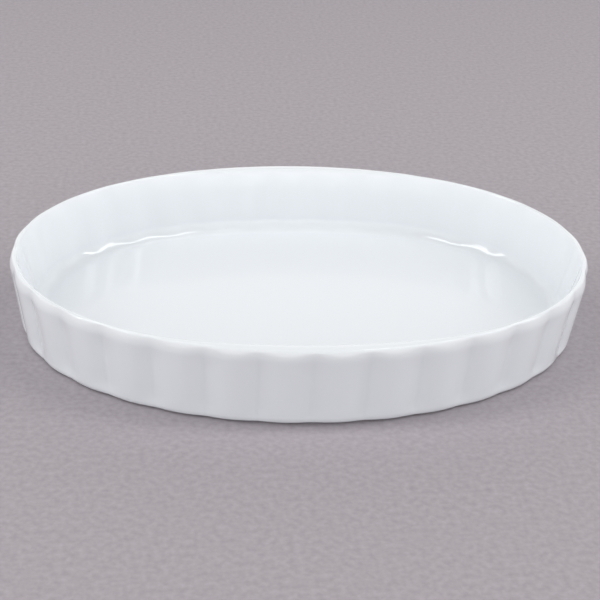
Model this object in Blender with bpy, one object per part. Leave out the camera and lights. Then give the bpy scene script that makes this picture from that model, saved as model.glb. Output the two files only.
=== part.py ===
"""Fluted oval dish: one piece of glazed white porcelain for gratins, quiches and set creams.

Metres, +Z up, the long way of the oval along X. The origin lies under the middle of the dish,
on the surface that its foot ring stands on.

The dish is one section carried round an oval. The section runs from the recess underneath over the
foot ring, round the heel, up the fluted wall, over the round lip, down inside and round the cove to
the floor. Each point of it becomes a ring, drawn at its own distance inside the rim's outline. The
lip is narrower and the wall thinner round the ends, so there the inside has a section of its own.
"""

import math
from collections import namedtuple

import bmesh
import bpy
import numpy as np
from mathutils import Vector

# Overall sizes, over the crests of the flutes
LENGTH = 0.178
WIDTH = 0.130
HEIGHT = 0.0251
# The plan: 0 draws a plain ellipse, 1 a straight-sided oval with round ends
FULLNESS = 0.53

# Wall and lip
WALL_LEAN = math.radians(6.5)
WALL_LEAN_INSIDE = math.radians(13.0)
# Lip: a large outer round runs into a smaller inner one. Along the sides they meet on top. Round
# the ends the inner one is smaller still and meets it short of the top, so the lip is narrower.
LIP_ROUND = 0.0032
LIP_ROUND_INSIDE = 0.0018
LIP_ROUND_AT_ENDS = 0.0007
LIP_CUT_AT_ENDS = math.radians(33)
# The ends' section is reached where the cosine of the turn, squared, is this
ENDS_FROM = 0.60
# Heel: the wall turns in gently, and a small edge ends it over the foot
HEEL_ROUND = 0.0040
HEEL_TURN = math.radians(35)
HEEL_EDGE = 0.0008

# Floor
FLOOR_THICKNESS = 0.0034
COVE_RADIUS = 0.0050

# Foot ring, which stands below the wall, with a shallow recess inside it
FOOT_HEIGHT = 0.0004
FOOT_SET_IN = 0.0035
FOOT_WIDTH = 0.0040
FOOT_ROUND = 0.00025
RECESS_HEIGHT = 0.0012

# Flutes: lobes with a round crest and straight flanks, which meet in filleted valleys. The rounds
# are shares of half a flute's width.
FLUTES = 32
FLUTE_TURN = -0.19
FLUTE_DEPTH = 0.0012
FLUTE_DEPTH_AT_FOOT = 0.0004
FLUTE_DEPTH_AT_LIP = 0.0002
FLUTE_DEPTH_INSIDE = 0.0005
CREST_ROUND = 0.55
VALLEY_ROUND = 0.12
VALLEY_ROUND_INSIDE = 0.35
# They have their full depth from one height up, and close between two depths below the lip's top
FLUTE_FULL = 0.0050
FLUTE_SHOULDER = 0.0085
FLUTE_CLOSED = 0.0015
# The waves inside start this far below the lip's top and above the floor
WAVE_BELOW_LIP = 0.0035
WAVE_ABOVE_FLOOR = 0.0022

# How finely the round shapes are cut
STEPS_PER_FLUTE = 6
LIP_STEPS = 3
HEEL_STEPS = 2
EDGE_STEPS = 2
FOOT_STEPS = 1
COVE_STEPS = 4
WALL_STEPS = 2
FADE_STEPS = 3
OUTLINE_SAMPLES = 7200

GLAZE_COLOUR = (0.83, 0.86, 0.89, 1.0)
GLAZE_ROUGHNESS = 0.08
BARE_COLOUR = (0.80, 0.78, 0.73, 1.0)
BARE_ROUGHNESS = 0.75
SHARP_ANGLE = math.radians(40)

# Angles in a section, where 0 points inwards, to the middle of the dish
UP = math.pi / 2
OUT = math.pi
DOWN = 1.5 * math.pi

# One ring of the dish: how far it lies inside the rim, its height, and how deep its valleys are.
# Soft rings carry the rounder waves of the inside. Bare rings have no glaze. A ring that lies
# elsewhere in the ends' section has its inset and height there.
Ring = namedtuple("Ring", "inset height depth soft bare at_ends", defaults=(0.0, False, False, None))


def clear_scene():
    """Remove whatever the scene starts with."""
    for obj in list(bpy.data.objects):
        bpy.data.objects.remove(obj, do_unlink=True)


def finish(name, colour, roughness):
    """A plain Principled material."""
    material = bpy.data.materials.new(name)
    material.use_nodes = True
    shader = material.node_tree.nodes["Principled BSDF"]
    shader.inputs["Base Color"].default_value = colour
    shader.inputs["Roughness"].default_value = roughness
    shader.inputs["Metallic"].default_value = 0.0
    return material


def outline(turn, inset=0.0):
    """The point of the oval at a turn (radians) and a distance inside the rim.

    The rim is an ellipse grown by the same distance all round, so rings at any inset stay
    parallel to each other and the wall keeps its thickness.
    """
    growth = FULLNESS * WIDTH / 2
    half_x = LENGTH / 2 - growth
    half_y = WIDTH / 2 - growth
    across = Vector((half_y * math.cos(turn), half_x * math.sin(turn), 0.0)).normalized()
    return Vector((half_x * math.cos(turn), half_y * math.sin(turn), 0.0)) + across * (growth - inset)


def towards_ends(turn):
    """0 in the middle of the sides, and 1 where the ends' section is reached."""
    return math.sin(min(1.0, math.cos(turn) ** 2 / ENDS_FROM) * math.pi / 2)


def stations():
    """Turns spaced evenly along the rim, each with its place across its flute: 0 on the crest and
    1 in the valley. The first is a valley, FLUTE_TURN flutes past the middle of the front."""
    turns = np.linspace(-math.pi / 2, 1.5 * math.pi, OUTLINE_SAMPLES + 1)
    points = np.array([outline(turn)[:2] for turn in turns])
    lengths = np.hypot(*np.diff(points, axis=0).T)
    run = np.concatenate(([0.0], np.cumsum(lengths)))
    steps = np.arange(FLUTES * STEPS_PER_FLUTE) / STEPS_PER_FLUTE
    shares = (steps + FLUTE_TURN) / FLUTES % 1.0
    across = np.abs(2.0 * (steps % 1.0) - 1.0)
    return list(zip(np.interp(shares * run[-1], run, turns), across))


def ease(share):
    """A smooth step from 0 to 1."""
    share = min(1.0, max(0.0, share))
    return share * share * (3.0 - 2.0 * share)


def arc(centre, radius, start, end, steps):
    """Points of a round in the section, as (inset, height)."""
    inset, height = centre
    return [
        (inset + radius * math.cos(angle), height + radius * math.sin(angle))
        for angle in np.linspace(start, end, steps + 1)
    ]


def lean_line(centre, radius, side, lean):
    """The wall's line, tangent to a lip round on its outer (-1) or inner (+1) side: the height
    where it starts, and a function that gives its inset at any height below."""
    start_inset = centre[0] + side * radius * math.cos(lean)
    start_height = centre[1] + side * radius * math.sin(lean)

    def inset_at(height):
        return start_inset + (start_height - height) * math.tan(lean)

    return start_height, inset_at


LIP_OUTER_CENTRE = (LIP_ROUND, HEIGHT - LIP_ROUND)
OUTER_TOP, outer_wall = lean_line(LIP_OUTER_CENTRE, LIP_ROUND, -1, WALL_LEAN)
FLOOR_TOP = RECESS_HEIGHT + FLOOR_THICKNESS


def outer_depth(height):
    """How deep the outside valleys are at a height: shallow at the foot, full over the wall, closed
    to a faint wave on the lip, and gone at its top."""
    below = HEIGHT - height
    lip = FLUTE_DEPTH_AT_LIP * min(1.0, below / FLUTE_CLOSED)
    wall = FLUTE_DEPTH_AT_FOOT + (FLUTE_DEPTH - FLUTE_DEPTH_AT_FOOT) * ease(height / FLUTE_FULL)
    return lip + (wall - lip) * ease((below - FLUTE_CLOSED) / (FLUTE_SHOULDER - FLUTE_CLOSED))


def inner_depth(height):
    """How far the inside bulges in behind each valley: nothing at the lip's top and on the floor."""
    below_lip = ease((HEIGHT - height) / WAVE_BELOW_LIP)
    above_floor = ease((height - FLOOR_TOP) / WAVE_ABOVE_FLOOR)
    return FLUTE_DEPTH_INSIDE * below_lip * above_floor


def valley(across, fillet):
    """The share of a valley's depth at a place across its flute, 0 on the crest."""
    rise = min(across, CREST_ROUND) ** 2 / (2.0 * CREST_ROUND) + max(0.0, across - CREST_ROUND)
    rise -= max(0.0, across - 1.0 + fillet) ** 2 / (2.0 * fillet)
    return rise / (1.0 - (CREST_ROUND + fillet) / 2.0)


def heel():
    """From the underside round the small edge and up the gentle turn to the wall."""
    reach = HEEL_ROUND - HEEL_EDGE
    height = FOOT_HEIGHT + HEEL_EDGE + reach * math.sin(HEEL_TURN)
    touch = height - HEEL_ROUND * math.sin(WALL_LEAN)
    centre = (outer_wall(touch) + HEEL_ROUND * math.cos(WALL_LEAN), height)
    corner = (centre[0] - reach * math.cos(HEEL_TURN), FOOT_HEIGHT + HEEL_EDGE)
    edge = arc(corner, HEEL_EDGE, DOWN, OUT + HEEL_TURN, EDGE_STEPS)
    return edge + arc(centre, HEEL_ROUND, OUT + HEEL_TURN, OUT + WALL_LEAN, HEEL_STEPS)[1:]


def foot_rings():
    """From the recess over the foot ring to its root under the wall."""
    outer = heel()[0][0] + FOOT_SET_IN
    inner = outer + FOOT_WIDTH
    in_edge = arc((inner - FOOT_ROUND, FOOT_ROUND), FOOT_ROUND, 2 * math.pi, DOWN, FOOT_STEPS)
    out_edge = arc((outer + FOOT_ROUND, FOOT_ROUND), FOOT_ROUND, DOWN, OUT, FOOT_STEPS)
    band = [Ring(*point, bare=True) for point in in_edge + out_edge]
    return [Ring(inner, RECESS_HEIGHT)] + band + [Ring(outer, FOOT_HEIGHT)]


def outer_lip(cut):
    """The lip's outer round, which ends short of the top by a cut angle."""
    return arc(LIP_OUTER_CENTRE, LIP_ROUND, OUT + WALL_LEAN, UP + cut, LIP_STEPS)


def inside_line(cut, inner_round):
    """Over the inner round of the lip, down the wall and round the cove to the flat floor."""
    reach = LIP_ROUND - inner_round
    inset = LIP_OUTER_CENTRE[0] + reach * math.cos(UP + cut)
    lip_centre = (inset, LIP_OUTER_CENTRE[1] + reach * math.sin(UP + cut))
    lip = arc(lip_centre, inner_round, UP + cut, WALL_LEAN_INSIDE, LIP_STEPS)[1:]
    top, inner_wall = lean_line(lip_centre, inner_round, 1, WALL_LEAN_INSIDE)
    height = FLOOR_TOP + COVE_RADIUS
    touch = height - COVE_RADIUS * math.sin(WALL_LEAN_INSIDE)
    wall = [(inner_wall(z), z) for z in np.linspace(top, touch, WALL_STEPS + 1)[1:-1]]
    centre = (inner_wall(touch) + COVE_RADIUS * math.cos(WALL_LEAN_INSIDE), height)
    return lip + wall + arc(centre, COVE_RADIUS, OUT + WALL_LEAN_INSIDE, DOWN, COVE_STEPS)


def outside_rings():
    """Round the heel, up the fluted wall and over the outer half of the lip."""
    heel_round = heel()
    shoulder = HEIGHT - FLUTE_SHOULDER
    wall = np.linspace(heel_round[-1][1], shoulder, WALL_STEPS + 1)[1:]
    fade = np.linspace(shoulder, OUTER_TOP, FADE_STEPS + 1)[1:-1]
    rise = [(outer_wall(height), height) for height in [*wall, *fade]]
    return [Ring(inset, height, outer_depth(height)) for inset, height in heel_round + rise] + [
        Ring(*point, outer_depth(point[1]), at_ends=end)
        for point, end in zip(outer_lip(0.0), outer_lip(LIP_CUT_AT_ENDS))
    ]


def inside_rings():
    """The inside, from the section across the sides and the one across the ends."""
    sides = inside_line(0.0, LIP_ROUND_INSIDE)
    ends = inside_line(LIP_CUT_AT_ENDS, LIP_ROUND_AT_ENDS)
    return [
        Ring(*point, inner_depth(point[1]), soft=True, at_ends=end)
        for point, end in zip(sides, ends)
    ]


def place(verts, places, ring):
    """Set a ring's points on the oval."""
    fillet = VALLEY_ROUND_INSIDE if ring.soft else VALLEY_ROUND
    side = Vector((ring.inset, ring.height))
    for vert, (turn, across) in zip(verts, places):
        inset, height = side.lerp(ring.at_ends or side, towards_ends(turn))
        vert.co = outline(turn, inset + ring.depth * valley(across, fillet))
        vert.co.z = height


def edges_round(verts):
    """The edges of a closed ring of points in order."""
    pairs = zip(verts, verts[1:] + verts[:1])
    return [next(edge for edge in a.link_edges if edge.other_vert(a) is b) for a, b in pairs]


def extrude_round(bm, verts):
    """Extrude a closed ring of points and return the new ring in the same order."""
    made = bmesh.ops.extrude_edge_only(bm, edges=edges_round(verts))
    fresh = {item for item in made["geom"] if isinstance(item, bmesh.types.BMVert)}
    return [
        next(edge.other_vert(vert) for edge in vert.link_edges if edge.other_vert(vert) in fresh)
        for vert in verts
    ]


def make_dish(glaze, bare):
    """The whole dish as one closed body, with the foot ring's face left bare."""
    places = stations()
    rings = foot_rings() + outside_rings() + inside_rings()

    bm = bmesh.new()
    verts = bmesh.ops.create_circle(bm, segments=len(places), radius=LENGTH / 2)["verts"]
    place(verts, places, rings[0])
    bmesh.ops.contextual_create(bm, geom=edges_round(verts))
    for last, ring in zip(rings, rings[1:]):
        verts = extrude_round(bm, verts)
        place(verts, places, ring)
        for face in {face for vert in verts for face in vert.link_faces}:
            face.material_index = int(last.bare and ring.bare)
    bmesh.ops.contextual_create(bm, geom=edges_round(verts))
    bmesh.ops.recalc_face_normals(bm, faces=bm.faces[:])

    mesh = bpy.data.meshes.new("fluted_dish")
    bm.to_mesh(mesh)
    bm.free()
    mesh.shade_smooth()
    mesh.set_sharp_from_angle(angle=SHARP_ANGLE)
    mesh.materials.append(glaze)
    mesh.materials.append(bare)
    dish = bpy.data.objects.new("fluted_dish", mesh)
    bpy.context.collection.objects.link(dish)
    return dish


clear_scene()
make_dish(
    finish("white_glaze", GLAZE_COLOUR, GLAZE_ROUGHNESS),
    finish("bare_porcelain", BARE_COLOUR, BARE_ROUGHNESS),
)
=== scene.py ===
"""Fluted oval dish in glazed white porcelain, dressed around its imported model.

Metres, +Z up, the long way of the oval along X. The dish is one piece, so the file goes through
its making: the pressed clay body, the glaze fused over it with the foot ring left bare, and then
the sheet that it stands on, the lamps and the camera.
"""

import math
from collections import namedtuple

import bmesh
import bpy
import numpy as np
from mathutils import Matrix, Vector, noise


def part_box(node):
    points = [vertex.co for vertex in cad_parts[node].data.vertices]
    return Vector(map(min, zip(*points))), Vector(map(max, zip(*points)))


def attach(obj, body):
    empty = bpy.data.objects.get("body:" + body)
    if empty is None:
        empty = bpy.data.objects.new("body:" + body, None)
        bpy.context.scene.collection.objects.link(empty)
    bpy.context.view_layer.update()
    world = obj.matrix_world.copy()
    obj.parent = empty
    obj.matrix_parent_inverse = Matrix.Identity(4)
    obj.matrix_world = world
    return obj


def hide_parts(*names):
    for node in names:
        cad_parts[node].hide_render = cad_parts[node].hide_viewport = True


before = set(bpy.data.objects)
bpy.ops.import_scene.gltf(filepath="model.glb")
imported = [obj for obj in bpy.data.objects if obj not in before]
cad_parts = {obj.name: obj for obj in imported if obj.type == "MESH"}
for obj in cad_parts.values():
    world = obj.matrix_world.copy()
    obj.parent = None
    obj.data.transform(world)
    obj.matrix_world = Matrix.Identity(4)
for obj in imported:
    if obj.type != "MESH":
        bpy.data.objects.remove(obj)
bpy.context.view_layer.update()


# The clay body. Hard porcelain, pressed in one piece between two moulds: a flat floor, a cove, a
# low flared wall whose outside is drawn into round flutes, a plain round lip and a foot ring set
# in under the heel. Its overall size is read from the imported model.
LOW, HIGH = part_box("fluted_dish")
LENGTH = HIGH.x - LOW.x
WIDTH = HIGH.y - LOW.y
HEIGHT = HIGH.z
# 0 draws a plain ellipse, 1 a straight-sided oval with round ends
FULLNESS = 0.53

# Angles from upright. The outside leans out a little more round the ends.
WALL_LEAN = math.radians(6.5)
WALL_LEAN_AT_ENDS = math.radians(7.8)
WALL_LEAN_INSIDE = math.radians(13.0)
# The lip's outer side swells out gently, turns over a tight round and crosses a nearly level top:
# three rounds, each with its radius, where it starts and ends, as angles from level, and its steps
LIP_ROUNDS = (
    (0.0060, math.radians(90), math.radians(66), 6),
    (0.0012, math.radians(66), math.radians(12), 10),
    (0.0088, math.radians(12), 0.0, 3),
)
# The round on its inner side. Along the sides it starts on top. Round the ends it is smaller and
# starts where the outer side is still a cut angle from level, so the lip is narrower there.
LIP_ROUND_INSIDE = 0.0018
LIP_ROUND_AT_ENDS = 0.0007
LIP_CUT_AT_ENDS = math.radians(20)
LIP_STEPS_INSIDE = 12
# The ends' section is reached where the cosine of the turn, squared, is this
ENDS_FROM = 0.60
# The heel: a gentle turn in from the wall, through an angle, and a small edge under it
HEEL_ROUND = 0.0040
HEEL_TURN = math.radians(35)
HEEL_EDGE = 0.0008
# The floor's height over the rest face, and the round that joins it to the wall
FLOOR_TOP = 0.0046
COVE_RADIUS = 0.0050

# The heel's underside lies this far over the rest face, and the foot ring is set in under it
FOOT_HEIGHT = 0.0004
FOOT_SET_IN = 0.0035
FOOT_WIDTH = 0.0040
FOOT_ROUND = 0.00025
RECESS_HEIGHT = 0.0012
RECESS_CROWN = 0.0003

# The flutes' number, and how far along the rim they are shifted, as a share of one
FLUTES = 32
FLUTE_TURN = -0.19
# The valleys' depth on the wall, at the foot, on the lip along the sides and round the ends, and
# that of the waves inside
FLUTE_DEPTH = 0.0012
FLUTE_DEPTH_AT_FOOT = 0.0004
FLUTE_DEPTH_AT_LIP = 0.0001
FLUTE_DEPTH_AT_LIP_ENDS = 0.00035
FLUTE_DEPTH_INSIDE = 0.0005
# A flute has a round crest, straight flanks and a filleted valley. The rounds are shares of half
# its width.
CREST_ROUND = 0.55
VALLEY_ROUND = 0.12
VALLEY_ROUND_INSIDE = 0.35
# Flutes have their full depth from one height up, and close between two depths below the lip's top
FLUTE_FULL = 0.0050
FLUTE_SHOULDER = 0.0085
FLUTE_CLOSED = 0.0008
# The waves inside start this far below the lip's top and above the floor
WAVE_BELOW_LIP = 0.0035
WAVE_ABOVE_FLOOR = 0.0022
# Pressed ware comes out of the kiln a little uneven: flutes by a share of their pitch and depth,
# and all surfaces by soft swells
UNEVEN_SEED = 11
FLUTE_DRIFT = 0.012
FLUTE_UNEVENNESS = 0.10
SWELL_HEIGHT = 0.00006
SWELL_LENGTH = 0.018

# How finely the mesh follows each form
RIM_SAMPLES = 7201
STEPS_PER_HALF_FLUTE = 12
HEEL_STEPS = 5
EDGE_STEPS = 4
FOOT_STEPS = 3
COVE_STEPS = 14
WALL_STEPS = 10
FADE_STEPS = 8
FLOOR_STEPS = 6
# The last ring of the floor and of the recess lies this share of half the width inside the rim
MIDDLE = 0.98
# How thick the glaze lies on the lip and in the cove, and how narrowly it gathers in a valley
EDGE_POOL = -1.0
COVE_POOL = 0.6
VALLEY_POOL_POWER = 8

# Angles in a section, where 0 points inwards, to the middle of the dish
UP = math.pi / 2
OUT = math.pi
DOWN = 1.5 * math.pi

# One ring of the dish: how far it lies inside the rim, its height and how deep its valleys are.
# Soft valleys are the shallow waves inside. Pool says how thick the glaze lies there, from -1 on an
# edge to 1 in a corner, and bare is 1 where it was wiped off. Round the ends of the dish a ring has
# the inset, height and depth given as at_ends.
Ring = namedtuple(
    "Ring", "inset height depth soft pool bare at_ends", defaults=(0.0, False, 0.0, 0.0, None)
)


def outline(turn, inset):
    """The point of the oval at a turn, a distance inside the rim: an ellipse grown evenly. Past
    the ellipse itself, towards the middle of the floor, the rings shrink with it."""
    growth = FULLNESS * WIDTH / 2
    half_x = LENGTH / 2 - growth
    half_y = WIDTH / 2 - growth
    shrink = min(1.0, 1.0 - (inset - growth) / half_y)
    across = Vector((half_y * math.cos(turn), half_x * math.sin(turn), 0.0)).normalized()
    spine = Vector((half_x * math.cos(turn), half_y * math.sin(turn), 0.0)) * shrink
    return spine + across * max(0.0, growth - inset)


def towards_ends(turn):
    """0 in the middle of the sides, and 1 where the ends' section is reached."""
    return math.sin(min(1.0, math.cos(turn) ** 2 / ENDS_FROM) * math.pi / 2)


def stations():
    """Turns along the rim, closer together near each valley, each with its place across its flute,
    0 on the crest and 1 in the valley, and with how deep its flute is next to the average one."""
    chance = np.random.default_rng(UNEVEN_SEED)
    drift = chance.normal(0.0, FLUTE_DRIFT, FLUTES + 1)
    drift[-1] = drift[0]
    depths = 1.0 + chance.normal(0.0, FLUTE_UNEVENNESS, FLUTES + 1)
    depths[-1] = depths[0]
    samples = np.linspace(-math.pi / 2, 1.5 * math.pi, RIM_SAMPLES)
    points = np.array([outline(turn, 0.0)[:2] for turn in samples])
    run = np.concatenate(([0.0], np.cumsum(np.hypot(*np.diff(points, axis=0).T))))
    rise = np.sin(np.linspace(0.0, math.pi / 2, STEPS_PER_HALF_FLUTE + 1))
    offsets = np.concatenate((1.0 - rise[::-1], 1.0 + rise[1:-1])) / 2
    across = np.abs(2.0 * offsets - 1.0)
    found = []
    for flute in range(FLUTES):
        places = flute + offsets + np.interp(offsets, (0.0, 1.0), drift[flute : flute + 2])
        turns = np.interp((places + FLUTE_TURN) / FLUTES % 1.0 * run[-1], run, samples)
        found += zip(turns, across, np.interp(offsets, (0.0, 1.0), depths[flute : flute + 2]))
    return found


def ease(share):
    """A smooth step from 0 to 1."""
    share = min(1.0, max(0.0, share))
    return share * share * (3.0 - 2.0 * share)


def arc(centre, radius, start, end, steps):
    """Points of a round in the section, as (inset, height)."""
    inset, height = centre
    return [
        (inset + radius * math.cos(angle), height + radius * math.sin(angle))
        for angle in np.linspace(start, end, steps + 1)
    ]


def lean_line(centre, radius, side, lean):
    """The wall's line, tangent to a lip round on its outer (-1) or inner (+1) side: the height
    where it starts, and a function that gives its inset at any height below."""
    start_inset = centre[0] + side * radius * math.cos(lean)
    start_height = centre[1] + side * radius * math.sin(lean)
    return start_height, lambda height: start_inset + (start_height - height) * math.tan(lean)


LIP_DROP = sum(radius * (math.cos(end) - math.cos(start)) for radius, start, end, _ in LIP_ROUNDS)
LIP_BASE_ROUND = LIP_ROUNDS[0][0]
LIP_WIDEST = (LIP_BASE_ROUND, HEIGHT - LIP_DROP)
OUTER_TOP, outer_wall = lean_line(LIP_WIDEST, LIP_BASE_ROUND, -1, WALL_LEAN)
_, outer_wall_at_ends = lean_line(LIP_WIDEST, LIP_BASE_ROUND, -1, WALL_LEAN_AT_ENDS)
LIP_HEIGHT = HEIGHT - OUTER_TOP


def outer_depth(height, at_lip=FLUTE_DEPTH_AT_LIP):
    """How deep the outside valleys are: shallow at the foot, full over the wall, closed to their
    depth at the lip under it, and gone at its top."""
    below = HEIGHT - height
    lip = at_lip * min(1.0, below / FLUTE_CLOSED)
    wall = FLUTE_DEPTH_AT_FOOT + (FLUTE_DEPTH - FLUTE_DEPTH_AT_FOOT) * ease(height / FLUTE_FULL)
    opened = min(1.0, max(0.0, (below - FLUTE_CLOSED) / (FLUTE_SHOULDER - FLUTE_CLOSED)))
    return lip + (wall - lip) * math.sin(opened * math.pi / 2)


def inner_depth(height):
    """How far the inside bulges in behind each valley: nothing at the lip's top and the floor."""
    below_lip = ease((HEIGHT - height) / WAVE_BELOW_LIP)
    return FLUTE_DEPTH_INSIDE * below_lip * ease((height - FLOOR_TOP) / WAVE_ABOVE_FLOOR)


def valley(across, fillet):
    """The share of a valley's depth at a place across its flute."""
    rise = min(across, CREST_ROUND) ** 2 / (2.0 * CREST_ROUND) + max(0.0, across - CREST_ROUND)
    rise -= max(0.0, across - 1.0 + fillet) ** 2 / (2.0 * fillet)
    return rise / (1.0 - (CREST_ROUND + fillet) / 2.0)


def heel_points(wall, lean):
    """From the underside round the small edge and up the gentle turn to the wall."""
    reach = HEEL_ROUND - HEEL_EDGE
    height = FOOT_HEIGHT + HEEL_EDGE + reach * math.sin(HEEL_TURN)
    touch = height - HEEL_ROUND * math.sin(lean)
    centre = (wall(touch) + HEEL_ROUND * math.cos(lean), height)
    corner = (centre[0] - reach * math.cos(HEEL_TURN), FOOT_HEIGHT + HEEL_EDGE)
    edge = arc(corner, HEEL_EDGE, DOWN, OUT + HEEL_TURN, EDGE_STEPS)
    return edge + arc(centre, HEEL_ROUND, OUT + HEEL_TURN, OUT + lean, HEEL_STEPS)[1:]


HEEL = heel_points(outer_wall, WALL_LEAN)
HEEL_AT_ENDS = heel_points(outer_wall_at_ends, WALL_LEAN_AT_ENDS)


def foot_rings():
    """From the middle of the recess over the foot ring to its root under the wall."""
    outer = HEEL[0][0] + FOOT_SET_IN
    inner = outer + FOOT_WIDTH
    recess = [
        Ring(inset, RECESS_HEIGHT + RECESS_CROWN * ease((inset - inner) / (WIDTH / 2 - inner)))
        for inset in np.linspace(MIDDLE * WIDTH / 2, inner + 2 * FOOT_ROUND, FLOOR_STEPS)
    ]
    recess_corner = Ring(inner + FOOT_ROUND, RECESS_HEIGHT, pool=1.0)
    root = Ring(outer, FOOT_HEIGHT, pool=1.0)
    in_edge = arc((inner - FOOT_ROUND, FOOT_ROUND), FOOT_ROUND, 2 * math.pi, DOWN, FOOT_STEPS)
    out_edge = arc((outer + FOOT_ROUND, FOOT_ROUND), FOOT_ROUND, DOWN, OUT, FOOT_STEPS)
    band = [Ring(*point, bare=1.0) for point in in_edge + out_edge]
    shift = HEEL_AT_ENDS[0][0] - HEEL[0][0]
    return [
        ring._replace(at_ends=(ring.inset + shift, ring.height, 0.0))
        for ring in [*recess, recess_corner, *band, root]
    ]


def lip_point(tilt):
    """The place on the lip's outer side where it lies a tilt from level."""
    inset, height = 0.0, HEIGHT - LIP_DROP
    for radius, start, end, _ in LIP_ROUNDS:
        reached = max(tilt, end) if start == UP else min(start, max(tilt, end))
        inset += radius * (math.sin(start) - math.sin(reached))
        height += radius * (math.cos(reached) - math.cos(start))
    return inset, height


def outer_lip(cut):
    """The lip's outer side from the wall up to a cut angle from level."""
    tilts = [UP + WALL_LEAN]
    for _, start, end, steps in LIP_ROUNDS:
        tilts += list(np.linspace(tilts[-1], end, steps + 1)[1:])
    return [lip_point(cut + tilt * (1.0 - cut / tilts[0])) for tilt in tilts]


def inside_line(cut, inner_round):
    """Over the inner round of the lip, down the wall, round the cove and across the floor, with
    how thick the glaze lies."""
    inset, height = lip_point(cut)
    lip_centre = (inset + inner_round * math.sin(cut), height - inner_round * math.cos(cut))
    lip = arc(lip_centre, inner_round, UP + cut, WALL_LEAN_INSIDE, LIP_STEPS_INSIDE)[1:]
    top, inner_wall = lean_line(lip_centre, inner_round, 1, WALL_LEAN_INSIDE)
    height = FLOOR_TOP + COVE_RADIUS
    touch = height - COVE_RADIUS * math.sin(WALL_LEAN_INSIDE)
    wall = [(inner_wall(z), z) for z in np.linspace(top, touch, WALL_STEPS + 1)[1:-1]]
    centre = (inner_wall(touch) + COVE_RADIUS * math.cos(WALL_LEAN_INSIDE), height)
    cove = arc(centre, COVE_RADIUS, OUT + WALL_LEAN_INSIDE, DOWN, COVE_STEPS)
    across = np.linspace(centre[0], MIDDLE * WIDTH / 2, FLOOR_STEPS + 1)[1:]
    floor = [(x, FLOOR_TOP) for x in across]
    pools = [EDGE_POOL] * len(lip) + [0.0] * len(wall) + [COVE_POOL] * len(cove)
    pools += [0.0] * len(floor)
    return lip + wall + cove + floor, pools


def outside_rings():
    """Round the heel, up the fluted wall and over the outer side of the lip."""
    shoulder = HEIGHT - FLUTE_SHOULDER
    wall = np.linspace(HEEL[-1][1], shoulder, WALL_STEPS + 1)[1:]
    fade = np.linspace(shoulder, OUTER_TOP, FADE_STEPS + 1)[1:-1]
    heights = [*wall, *fade]
    sides = HEEL + [(outer_wall(height), height) for height in heights] + outer_lip(0.0)
    ends = HEEL_AT_ENDS + [(outer_wall_at_ends(height), height) for height in heights]
    ends += outer_lip(LIP_CUT_AT_ENDS)
    return [
        Ring(
            *side,
            outer_depth(side[1]),
            pool=-ease((side[1] - OUTER_TOP) / LIP_HEIGHT),
            at_ends=(*end, outer_depth(end[1], FLUTE_DEPTH_AT_LIP_ENDS)),
        )
        for side, end in zip(sides, ends)
    ]


def inside_rings():
    """The inside, from the section across the sides and the one across the ends."""
    sides, pools = inside_line(0.0, LIP_ROUND_INSIDE)
    ends, _ = inside_line(LIP_CUT_AT_ENDS, LIP_ROUND_AT_ENDS)
    return [
        Ring(*side, inner_depth(side[1]), True, pool, at_ends=(*end, inner_depth(end[1])))
        for side, end, pool in zip(sides, ends, pools)
    ]


def place(verts, places, ring, pool, bare):
    """Set a ring's points on the oval, with what the glaze needs to know there."""
    fillet = VALLEY_ROUND_INSIDE if ring.soft else VALLEY_ROUND
    side = Vector((ring.inset, ring.height, ring.depth))
    for vert, (turn, across, deep) in zip(verts, places):
        inset, height, depth = side.lerp(ring.at_ends or side, towards_ends(turn))
        vert.co = outline(turn, inset + depth * deep * valley(across, fillet))
        vert.co.z = height
        gathered = across**VALLEY_POOL_POWER * min(1.0, depth / FLUTE_DEPTH)
        vert[pool] = ring.pool + gathered * (not ring.soft)
        vert[bare] = ring.bare


def edges_round(verts):
    """The edges of a closed ring of points in order."""
    pairs = zip(verts, verts[1:] + verts[:1])
    return [next(edge for edge in a.link_edges if edge.other_vert(a) is b) for a, b in pairs]


def extrude_round(bm, verts):
    """Extrude a closed ring of points and return the new ring in the same order."""
    made = bmesh.ops.extrude_edge_only(bm, edges=edges_round(verts))
    fresh = {item for item in made["geom"] if isinstance(item, bmesh.types.BMVert)}
    return [
        next(edge.other_vert(vert) for edge in vert.link_edges if edge.other_vert(vert) in fresh)
        for vert in verts
    ]


def swell(bm):
    """Move each point a hair along its normal, in long soft swells that fade out towards the rest
    face and the lip's top."""
    bm.normal_update()
    for vert in bm.verts:
        lift = noise.noise(vert.co / SWELL_LENGTH) * SWELL_HEIGHT
        lift *= ease(vert.co.z / FLOOR_TOP) * ease((HEIGHT - vert.co.z) / LIP_HEIGHT)
        vert.co += vert.normal * lift


def press_dish():
    """The whole dish as one closed body."""
    places = stations()
    rings = foot_rings() + outside_rings() + inside_rings()
    bm = bmesh.new()
    pool = bm.verts.layers.float.new("pool")
    bare = bm.verts.layers.float.new("bare")
    verts = bmesh.ops.create_circle(bm, segments=len(places), radius=LENGTH / 2)["verts"]
    place(verts, places, rings[0], pool, bare)
    bmesh.ops.contextual_create(bm, geom=edges_round(verts))
    for ring in rings[1:]:
        verts = extrude_round(bm, verts)
        place(verts, places, ring, pool, bare)
    bmesh.ops.contextual_create(bm, geom=edges_round(verts))
    bmesh.ops.recalc_face_normals(bm, faces=bm.faces[:])
    swell(bm)
    mesh = bpy.data.meshes.new("oval_dish")
    bm.to_mesh(mesh)
    bm.free()
    mesh.shade_smooth()
    made = bpy.data.objects.new("oval_dish", mesh)
    bpy.context.collection.objects.link(made)
    return made


dish = press_dish()
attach(dish, "root")
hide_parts("fluted_dish")


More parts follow.
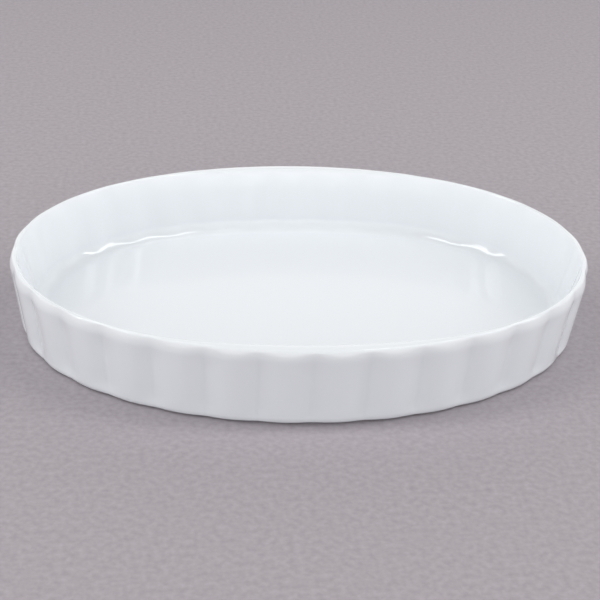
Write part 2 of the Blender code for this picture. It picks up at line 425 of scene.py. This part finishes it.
# The glaze, a clear, glossy coat with a slight blue cast, fused over the clay. It runs thin over
# the lip and lies deeper in the valleys and the cove. The foot ring is wiped bare before firing,
# so that it doesn't stick to the kiln shelf, and shows the same clay, matt and a little warmer.
GLAZE = (0.83, 0.86, 0.89)
GLAZE_DEEP = (0.81, 0.845, 0.88)
GLAZE_THIN = (0.84, 0.865, 0.89)
GLAZE_ROUGHNESS = 0.035
GLAZE_IOR = 1.52
BARE = (0.78, 0.75, 0.69)
BARE_DARK = (0.66, 0.62, 0.55)
BARE_ROUGHNESS = 0.75
# Sizes in the pattern, in metres
CLOUD = 0.035
PEEL = 0.0035
PEEL_HEIGHT = 0.000010
RIPPLE = 0.011
RIPPLE_HEIGHT = 0.000030
PINHOLE_SPACING = 0.006
PINHOLE_RADIUS = 0.00016
PINHOLE_DEPTH = 0.00005
GLAZE_THICKNESS = 0.00008
GRAIN = 0.0006
GRAIN_HEIGHT = 0.00004
WIPE_WOBBLE = 0.004
# How much the clouds change the thickness of the glaze and its roughness
CLOUD_THICKNESS = 0.7
CLOUD_ROUGHNESS = 0.02
# The share of the cells that have a pinhole, and how dark it is
PINHOLE_SHARE = 0.07
PINHOLE_DARK = 0.35
# How far the wiped line wanders, as a share of the way from glaze to bare, and where it turns bare
WIPE_WANDER = 0.9
WIPE_EDGE = (0.45, 0.55)
# The part of the clay's grain that goes from light to dark
GRAIN_RANGE = (0.35, 0.75)


class Wire:
    """An output of a node. Arithmetic on wires adds Math nodes, and make adds any other node."""

    def __init__(self, tree, socket=None):
        self.tree = tree
        self.socket = socket

    def make(self, kind, settings=None, inputs=None, output=0):
        """A node with its settings first and then its sockets, by name or number."""
        node = self.tree.nodes.new(kind)
        for name, value in (settings or {}).items():
            setattr(node, name, value)
        for name, value in (inputs or {}).items():
            if isinstance(value, Wire):
                self.tree.links.new(value.socket, node.inputs[name])
            else:
                node.inputs[name].default_value = value
        return Wire(self.tree, node.outputs[output])

    def sum_of(self, operation, *values):
        """A Math node on wires and numbers."""
        return self.make("ShaderNodeMath", {"operation": operation}, dict(enumerate(values)))

    def __add__(self, other):
        return self.sum_of("ADD", self, other)

    def __sub__(self, other):
        return self.sum_of("SUBTRACT", self, other)

    def __rsub__(self, other):
        return self.sum_of("SUBTRACT", other, self)

    def __mul__(self, other):
        return self.sum_of("MULTIPLY", self, other)

    def __gt__(self, other):
        return self.sum_of("GREATER_THAN", self, other)

    __radd__ = __add__
    __rmul__ = __mul__

    def between(self, low, high):
        """0 below one value and 1 above another, with a smooth step in between."""
        return self.make(
            "ShaderNodeMapRange",
            {"interpolation_type": "SMOOTHSTEP"},
            {"Value": self, "From Min": low, "From Max": high},
        )

    def blend(self, first, second):
        """One colour at 0 and another at 1."""
        colours = [value if isinstance(value, Wire) else (*value, 1.0) for value in (first, second)]
        sockets = {0: self, 6: colours[0], 7: colours[1]}
        return self.make("ShaderNodeMix", {"data_type": "RGBA"}, sockets, output=2)

    def attribute(self, name):
        """A value stored on the mesh's points."""
        return self.make("ShaderNodeAttribute", {"attribute_name": name}, output="Fac")

    def cloud(self, place, size, detail=2.0, rough=0.5):
        """Soft noise around 0.5 with clouds of about a size in metres."""
        sockets = {"Vector": place, "Scale": 1.0 / size, "Detail": detail, "Roughness": rough}
        return self.make("ShaderNodeTexNoise", {}, sockets)


def glaze_finish():
    """White glaze over the body, and bare clay where the foot was wiped."""
    material = bpy.data.materials.new("white_glaze")
    material.use_nodes = True
    tree = material.node_tree
    shader = tree.nodes["Principled BSDF"]
    start = Wire(tree)
    place = start.make("ShaderNodeTexCoord", output="Object")

    # The wiped line wanders a little, and beside it the glaze ends in a thin rolled edge
    wobble = (start.cloud(place, WIPE_WOBBLE) - 0.5) * WIPE_WANDER
    wiped = (start.attribute("bare") + wobble).between(*WIPE_EDGE)

    thick = start.attribute("pool") + (start.cloud(place, CLOUD) - 0.5) * CLOUD_THICKNESS
    colour = thick.between(0.0, 1.0).blend(GLAZE, GLAZE_DEEP)
    colour = (0.0 - thick).between(0.0, 1.0).blend(colour, GLAZE_THIN)

    grain = start.cloud(place, GRAIN, detail=4.0, rough=0.7)
    clay = grain.between(*GRAIN_RANGE).blend(BARE, BARE_DARK)
    colour = wiped.blend(colour, clay)

    # A few pinholes, where a bubble broke in the kiln
    cells = {"Vector": place, "Scale": 1.0 / PINHOLE_SPACING}
    spot = start.make("ShaderNodeTexVoronoi", {}, cells, output="Distance")
    lot = start.make("ShaderNodeTexVoronoi", {}, cells, output="Color")
    chosen = lot.make("ShaderNodeSeparateColor", {}, {0: lot}) > 1.0 - PINHOLE_SHARE
    hole = (1.0 - spot.between(0.0, PINHOLE_RADIUS / PINHOLE_SPACING)) * chosen
    colour = (hole * PINHOLE_DARK).blend(colour, BARE_DARK)

    height = start.cloud(place, RIPPLE) * RIPPLE_HEIGHT + start.cloud(place, PEEL) * PEEL_HEIGHT
    height = height - hole * PINHOLE_DEPTH - wiped * (GLAZE_THICKNESS - grain * GRAIN_HEIGHT)
    bump = start.make("ShaderNodeBump", {}, {"Distance": 1.0, "Height": height})

    roughness = GLAZE_ROUGHNESS + start.cloud(place, CLOUD, detail=4.0) * CLOUD_ROUGHNESS
    roughness = wiped * (BARE_ROUGHNESS - GLAZE_ROUGHNESS) + roughness
    for name, wire in {"Base Color": colour, "Roughness": roughness, "Normal": bump}.items():
        tree.links.new(wire.socket, shader.inputs[name])
    shader.inputs["IOR"].default_value = GLAZE_IOR
    return material


dish.data.materials.append(glaze_finish())


# The sheet. A plain grey-mauve paper, laid flat under the dish and far out behind it, with the
# faint tooth that such paper has.
SHEET = (0.397, 0.363, 0.391)
SHEET_ROUGHNESS = 0.85
SHEET_HALF = 3.0
# The tooth's size, and how much lighter and darker than the sheet it gets
TOOTH = 0.0018
TOOTH_CONTRAST = 0.23


def sheet_finish():
    """Matt paper with a faint tooth."""
    material = bpy.data.materials.new("sheet_paper")
    material.use_nodes = True
    tree = material.node_tree
    shader = tree.nodes["Principled BSDF"]
    start = Wire(tree)
    tooth = start.cloud(start.make("ShaderNodeTexCoord", output="Object"), TOOTH, detail=3.0)
    shades = (1.0 - TOOTH_CONTRAST, 1.0 + TOOTH_CONTRAST)
    colour = tooth.blend(*([shade * part for part in SHEET] for shade in shades))
    tree.links.new(colour.socket, shader.inputs["Base Color"])
    shader.inputs["Roughness"].default_value = SHEET_ROUGHNESS
    return material


bm = bmesh.new()
bmesh.ops.create_grid(bm, x_segments=1, y_segments=1, size=SHEET_HALF)
mesh = bpy.data.meshes.new("sheet")
bm.to_mesh(mesh)
bm.free()
sheet = bpy.data.objects.new("sheet", mesh)
bpy.context.collection.objects.link(sheet)
sheet.data.materials.append(sheet_finish())


# The lamps. A tall, narrow soft box on either side, leaning over the dish, and a pale room round
# them, with a brighter wall in front and a dim ceiling.
# Which way the right-hand box lies from the dish, how far off it is, its size and its brightness
BOX_PLACE = Vector((0.60, -0.04, 0.80))
BOX_DISTANCE = 1.2
BOX_WIDTH = 0.26
BOX_HEIGHT = 1.15
BOX_BRIGHTNESS = 5.7
# The room's brightness, where a white sheet in full light has a brightness of 1
ROOM_WALLS = 1.00
ROOM_FRONT = 1.46
ROOM_CEILING = 0.08
# The sines of the angles over the horizon between which the walls give way to the ceiling
CORNER_LOW = 0.42
CORNER_HIGH = 0.82
# How squarely a direction faces the front where the brighter front wall starts and is whole
FRONT_STARTS = 0.65
FRONT_WHOLE = 0.88


def soft_box(name, side):
    """An area lamp on the right (1) or left (-1) side that faces the dish. Its power is what makes
    its face as bright as asked, on the room's scale."""
    lamp = bpy.data.lights.new(name, "AREA")
    lamp.shape = "RECTANGLE"
    lamp.size = BOX_WIDTH
    lamp.size_y = BOX_HEIGHT
    lamp.energy = BOX_BRIGHTNESS * math.pi * BOX_WIDTH * BOX_HEIGHT
    made = bpy.data.objects.new(name, lamp)
    towards = BOX_PLACE * Vector((side, 1.0, 1.0))
    made.location = towards.normalized() * BOX_DISTANCE
    made.rotation_euler = (-towards).to_track_quat("-Z", "Y").to_euler()
    bpy.context.collection.objects.link(made)
    return made


soft_box("left_box", -1)
soft_box("right_box", 1)

world = bpy.data.worlds.new("pale_room")
world.use_nodes = True
start = Wire(world.node_tree)
towards = start.make("ShaderNodeTexCoord", output="Generated")
rise = start.make("ShaderNodeSeparateXYZ", {}, {0: towards}, output="Z")
depth = start.make("ShaderNodeSeparateXYZ", {}, {0: towards}, output="Y")
walls = depth.between(-FRONT_WHOLE, -FRONT_STARTS) * (ROOM_WALLS - ROOM_FRONT) + ROOM_FRONT
brightness = walls * (1.0 - rise.between(CORNER_LOW, CORNER_HIGH)) + ROOM_CEILING
background = world.node_tree.nodes["Background"]
background.inputs["Color"].default_value = (1.0, 1.0, 1.0, 1.0)
world.node_tree.links.new(brightness.socket, background.inputs["Strength"])
bpy.context.scene.world = world


# The camera. It looks down at the dish from the front, a little to its left and slightly tipped,
# as the photograph's does. The frame is 600 pixels wide.
FRAME_PIXELS = 600
# It aims at a point this far over the middle of the rest face
CAMERA_AIM = 0.0010
CAMERA_DISTANCE = 0.445
CAMERA_PITCH = math.radians(28.69)
CAMERA_YAW = math.radians(-6.86)
CAMERA_ROLL = math.radians(-2.61)
FOCAL_PIXELS = 1406.5
# Where that point falls in the frame
DISH_COLUMN = 299.4
DISH_ROW = 314.5
# Blender's own measures: the sensor in millimetres, and the nearest distance that it draws
SENSOR_WIDTH = 36.0
NEAREST = 0.01

level = Vector((math.cos(CAMERA_YAW), math.sin(CAMERA_YAW), 0.0))
ahead = Vector((-math.sin(CAMERA_YAW), math.cos(CAMERA_YAW), 0.0))
back = Vector((0.0, 0.0, math.sin(CAMERA_PITCH))) - ahead * math.cos(CAMERA_PITCH)
upright = back.cross(level)
right = level * math.cos(CAMERA_ROLL) - upright * math.sin(CAMERA_ROLL)
upwards = level * math.sin(CAMERA_ROLL) + upright * math.cos(CAMERA_ROLL)

lens = bpy.data.cameras.new("camera")
lens.sensor_width = SENSOR_WIDTH
lens.lens = FOCAL_PIXELS / FRAME_PIXELS * SENSOR_WIDTH
lens.shift_x = (FRAME_PIXELS / 2 - DISH_COLUMN) / FRAME_PIXELS
lens.shift_y = (DISH_ROW - FRAME_PIXELS / 2) / FRAME_PIXELS
lens.clip_start = NEAREST
camera = bpy.data.objects.new("camera", lens)
turned = Matrix((right, upwards, back)).transposed().to_4x4()
stand = back * CAMERA_DISTANCE + Vector((0.0, 0.0, CAMERA_AIM))
camera.matrix_world = Matrix.Translation(stand) @ turned
bpy.context.collection.objects.link(camera)
bpy.context.scene.camera = camera
bpy.context.scene.view_settings.view_transform = "Standard"
